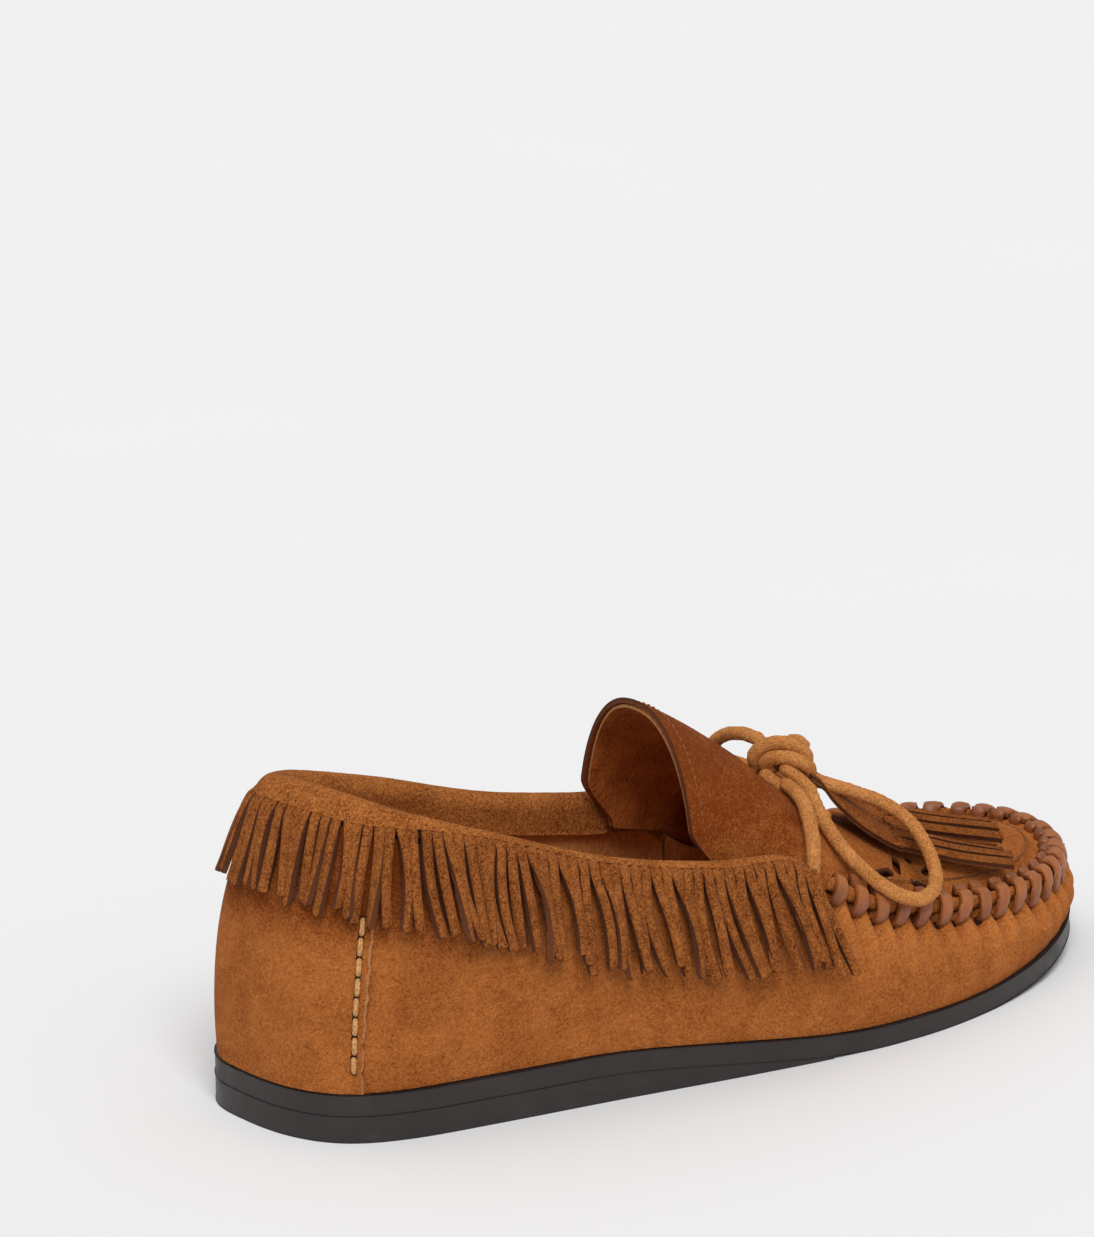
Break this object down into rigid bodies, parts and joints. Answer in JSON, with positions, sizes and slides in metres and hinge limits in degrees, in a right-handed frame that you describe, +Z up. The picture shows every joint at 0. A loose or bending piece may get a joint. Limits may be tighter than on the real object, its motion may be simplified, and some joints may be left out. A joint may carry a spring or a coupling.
{
  "type": "moccasin",
  "caption": "Right low suede moccasin with a fringed collar, whip-stitched apron, tall tongue and a lace bow with cut tassels.",
  "frame": {"origin": "on the ground under the middle of the heel tread", "axes": "+X from heel to toe, +Y to the inner side of the foot, +Z up"},
  "size_m": [0.2585, 0.0926, 0.0915],
  "materials": {
    "suede": "brushed suede, nap up",
    "fringe_suede": "cut suede strips",
    "lace_suede": "fuzzy suede lace",
    "lining_leather": "smooth lining leather",
    "whip_leather": "smooth waxed strip",
    "sole": "dark waxed sole leather, satin",
    "shank_steel": "spring steel strip",
    "cork": "pressed cork sheet",
    "fibre_board": "cellulose shoe board",
    "heel_foam": "soft foam",
    "thread": "waxed heavy thread"
  },
  "bodies": {
    "shoe": {"outsole": "sole", "heel_wedge": "sole", "shank": "shank_steel", "cork_filler": "cork", "insole_board": "fibre_board", "heel_pad": "heel_foam", "sock": "lining_leather", "vamp": "suede", "heel_panel": "suede", "heel_counter": "fibre_board", "quarter_lining": "lining_leather", "vamp_lining": "lining_leather", "apron": "suede", "apron_underlay": "lining_leather", "collar": "suede", "collar_lace": "lace_suede", "fringe_outer": "fringe_suede", "fringe_heel": "fringe_suede", "fringe_inner": "fringe_suede", "whip_lace": "whip_leather", "heel_thread_outer": "thread", "heel_thread_inner": "thread", "knot": "lace_suede", "riser_outer": "lace_suede", "riser_inner": "lace_suede"},
    "tongue": {"tongue": "suede", "tongue_lining": "lining_leather"},
    "tassel_outer": {"tassel_outer": "fringe_suede"},
    "loop_outer": {"loop_outer": "lace_suede"},
    "tassel_inner": {"tassel_inner": "fringe_suede"},
    "loop_inner": {"loop_inner": "lace_suede"}
  },
  "joints": [
    {"name": "tongue_flex", "type": "hinge", "parent": "shoe", "child": "tongue", "pos_m": [0.12, 0, 0.04], "axis": [0, -1, 0], "range_deg": [0, 20], "stiffness_Nm_per_rad": 0.13, "springref_deg": -6.88},
    {"name": "tassel_outer_lift", "type": "hinge", "parent": "shoe", "child": "tassel_outer", "pos_m": [0.1265, -0.0045, 0.06], "axis": [-0.7021, -0.7121, 0], "range_deg": [0, 38]},
    {"name": "loop_outer_lift", "type": "hinge", "parent": "tassel_outer", "child": "loop_outer", "pos_m": [0.1285, -0.0098, 0.061], "axis": [-0.9371, -0.3489, 0], "range_deg": [0, 30]},
    {"name": "tassel_inner_lift", "type": "hinge", "parent": "shoe", "child": "tassel_inner", "pos_m": [0.133, 0.002, 0.057], "axis": [-0.173, -0.9849, 0], "range_deg": [0, 65]},
    {"name": "loop_inner_lift", "type": "hinge", "parent": "shoe", "child": "loop_inner", "pos_m": [0.1235, 0.0085, 0.067], "axis": [1, 0, 0], "range_deg": [0, 42]}
  ]
}
